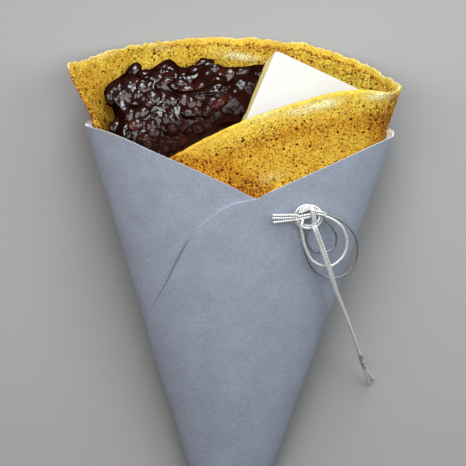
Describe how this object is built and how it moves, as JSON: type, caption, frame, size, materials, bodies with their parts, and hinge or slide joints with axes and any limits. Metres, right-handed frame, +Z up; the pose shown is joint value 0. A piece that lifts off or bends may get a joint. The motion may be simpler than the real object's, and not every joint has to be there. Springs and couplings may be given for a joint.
{
  "type": "crepe cone",
  "caption": "Rolled crepe cone with sweet bean paste and a slab of butter, in a wound paper sleeve with a knotted silver paper cord.",
  "frame": {"origin": "on the surface that the cone lies on, under the middle of its box without the paper cord", "axes": "+Z up, square to the cone's front; +Y along the cone from the tip to the mouth; +X to the right of someone who faces the front with the mouth at the top"},
  "size_m": [0.1272, 0.2094, 0.0535],
  "materials": {
    "sleeve_paper": "matte blue-grey paper with a fine grain, white inside",
    "crepe": "golden baked batter with fine dark pores and browned patches",
    "bean_paste": "glossy dark red-brown sweet beans in syrup",
    "butter": "smooth pale butter",
    "silver_cord": "silver-wrapped stiff paper cord"
  },
  "bodies": {
    "root": {"paper_sleeve": "sleeve_paper", "crepe": "crepe", "bean_paste": "bean_paste", "butter_slab": "butter", "cord_knot": "silver_cord", "cord_loop_large": "silver_cord", "cord_loop_middle": "silver_cord", "cord_loop_small": "silver_cord", "cord_tail_left": "silver_cord", "cord_tail_right": "silver_cord", "tail_binding": "silver_cord"}
  },
  "joints": []
}
